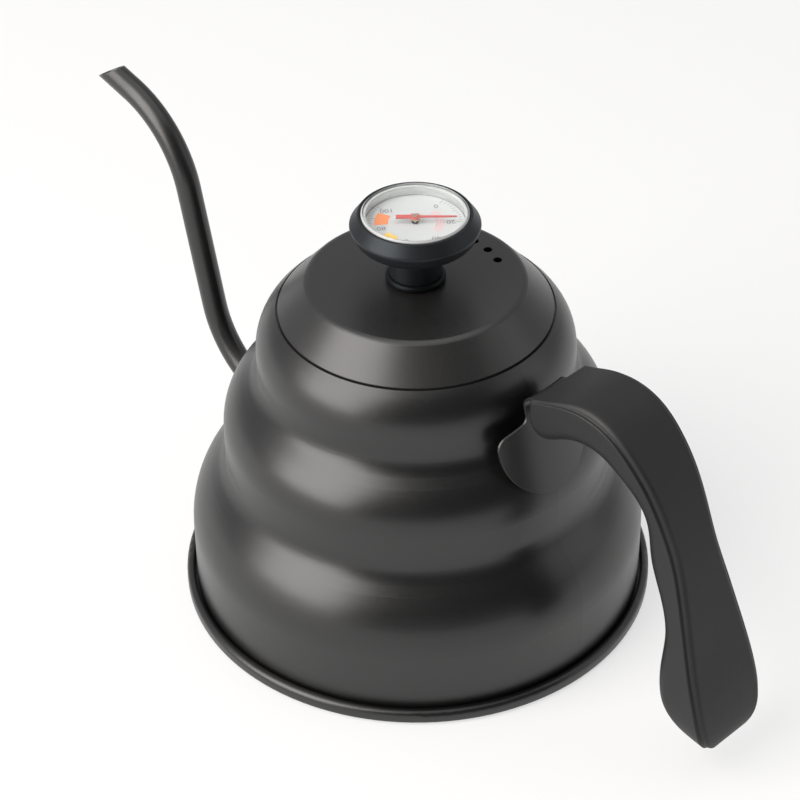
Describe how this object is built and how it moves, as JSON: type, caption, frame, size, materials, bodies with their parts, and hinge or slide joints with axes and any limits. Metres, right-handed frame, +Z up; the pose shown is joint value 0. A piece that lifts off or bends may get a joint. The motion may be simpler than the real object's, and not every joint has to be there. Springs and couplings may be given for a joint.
{
  "type": "gooseneck kettle",
  "caption": "Stovetop pour-over kettle with a stepped round body, slim gooseneck spout, open C-shaped handle and a lift-off lid whose knob holds a dial thermometer.",
  "frame": {"origin": "on the kettle's upright axis, on the table under the flat base", "axes": "+Z up, +X from the axis towards the handle, -X towards the spout, +Y to the left of a hand that pours"},
  "size_m": [0.285, 0.154, 0.1398],
  "materials": {
    "coated_steel": "satin gunmetal coating over fine turned grain",
    "black_plastic": "fine matte",
    "bare_steel": "brushed",
    "brass": "turned",
    "clear_lens": "clear",
    "gasket_rubber": "matte",
    "dial_white": "matte white enamel",
    "pointer_red": "satin"
  },
  "bodies": {
    "kettle": {"body_shell": "coated_steel", "base_pan": "coated_steel", "spout_tube": "coated_steel", "handle_bracket": "coated_steel", "handle_grip": "black_plastic", "handle_screws": "bare_steel"},
    "lid": {"lid_shell": "coated_steel", "lid_skirt": "bare_steel", "knob_collar": "coated_steel", "knob": "black_plastic", "knob_stud": "bare_steel", "stud_washer": "bare_steel", "stud_nut": "bare_steel", "thermometer_case": "bare_steel", "lens_gasket": "gasket_rubber", "lens": "clear_lens", "dial_plate": "dial_white", "stem_bush": "brass", "probe_stem": "bare_steel", "probe_tip": "bare_steel", "bimetal_coil": "bare_steel", "shaft_guide": "brass"},
    "pointer": {"pointer_shaft": "bare_steel", "pointer_hub": "pointer_red", "pointer_needle": "pointer_red"}
  },
  "joints": [
    {"name": "lid_lift", "type": "slide", "parent": "kettle", "child": "lid", "axis": [0, 0, 1], "range_m": [0, 0.12]},
    {"name": "pointer_turn", "type": "hinge", "parent": "lid", "child": "pointer", "pos_m": [0, 0, 0.1367], "axis": [0, 0, -1], "range_deg": [-54, 216]}
  ]
}
